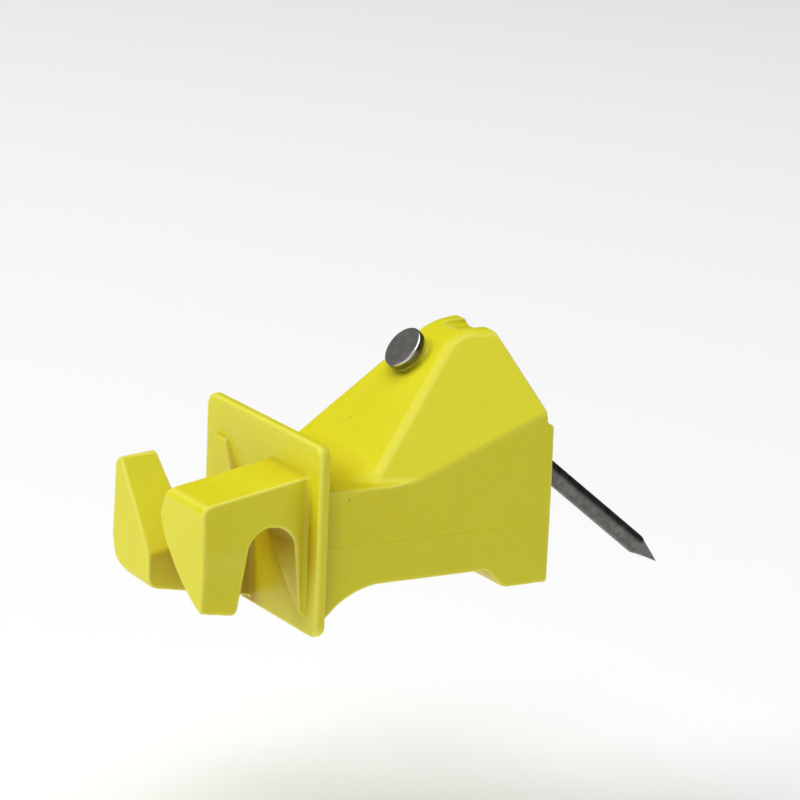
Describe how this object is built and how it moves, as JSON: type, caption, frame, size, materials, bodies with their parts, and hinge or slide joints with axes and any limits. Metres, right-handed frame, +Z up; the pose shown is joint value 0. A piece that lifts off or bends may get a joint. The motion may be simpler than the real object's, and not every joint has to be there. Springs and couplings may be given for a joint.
{
  "type": "nail-on wood-post fence insulator",
  "caption": "Slant-nail electric fence insulator: hollow moulded plastic body with a shield flange and opposed wire hooks, fixed to a wood post by an angled flat-head nail.",
  "frame": {"origin": "on the face that rests against the post, at the crossing of the rear ribs, level with the mould's parting plane", "axes": "+Y out of the post face into the post, -Y towards the fence wire, +Z up, +X to the side of the hook that opens downwards"},
  "size_m": [0.036, 0.0924, 0.0438],
  "materials": {
    "yellow_plastic": "satin moulded polyethylene",
    "nail_steel": "dark bright-rimmed steel"
  },
  "bodies": {
    "insulator": {"insulator_body": "yellow_plastic"},
    "nail": {"nail": "nail_steel"}
  },
  "joints": [
    {"name": "nail_slide", "type": "slide", "parent": "insulator", "child": "nail", "axis": [0, -0.7771, 0.6293], "range_m": [0, 0.042]}
  ]
}
